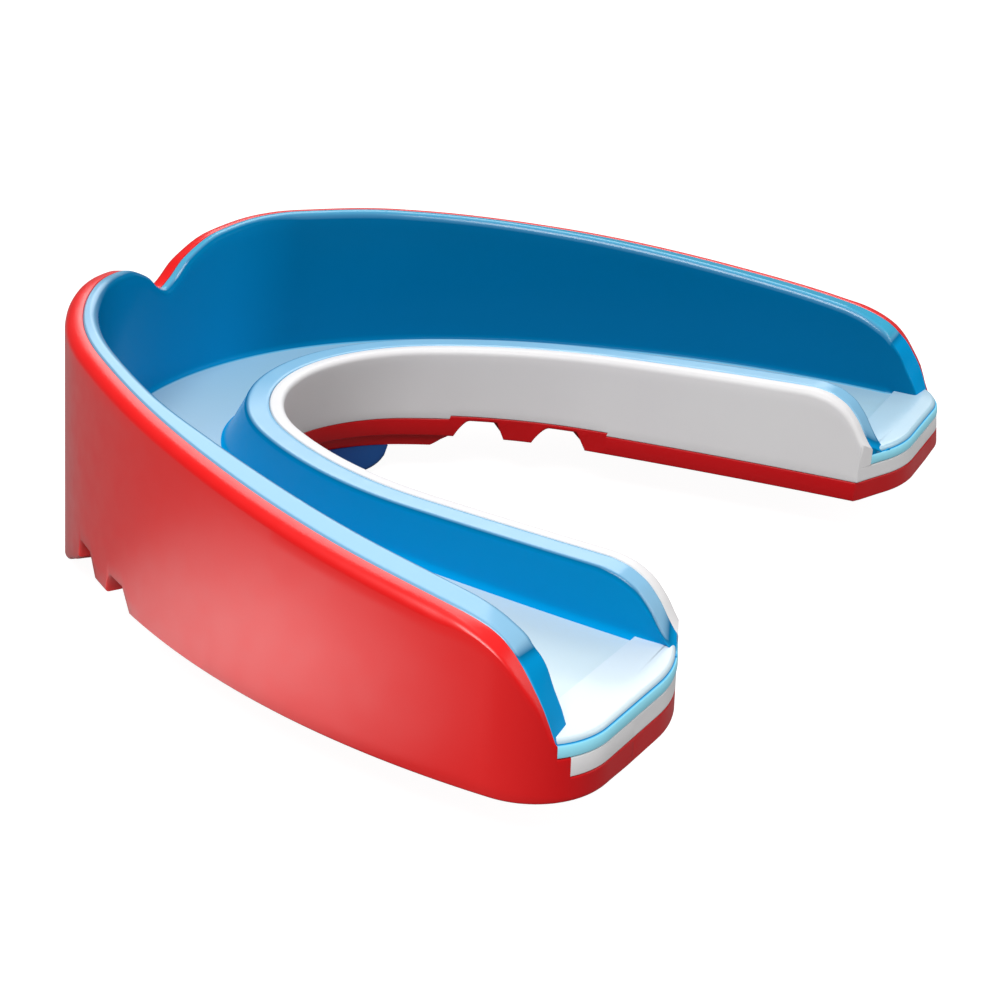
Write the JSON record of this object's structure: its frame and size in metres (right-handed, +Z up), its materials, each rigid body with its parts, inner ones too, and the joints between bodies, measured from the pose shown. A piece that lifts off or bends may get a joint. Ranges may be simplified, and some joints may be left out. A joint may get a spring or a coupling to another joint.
{
  "type": "mouthguard",
  "caption": "Horseshoe boxing mouthguard: gel-lined tooth trough between a tall lip-side wall, notched at the midline, and a low tongue-side wall, with a channelled underside and front bumper.",
  "frame": {"origin": "middle of the bounding box in plan, at the height of the lowest face, the underside of the front bumper", "axes": "+X across the jaw towards the left teeth when worn on the upper jaw, -Y towards the lips, +Z up towards the gums"},
  "size_m": [0.062, 0.0505, 0.0164],
  "materials": {
    "shell": "glossy red moulded elastomer",
    "frame": "satin white moulded elastomer",
    "gel": "glossy translucent blue gel",
    "lower_gel": "glossy translucent blue gel"
  },
  "bodies": {
    "root": {"outer_shell": "shell", "shock_frame": "frame", "gel_liner": "gel", "lower_gel_pad": "lower_gel"}
  },
  "joints": []
}
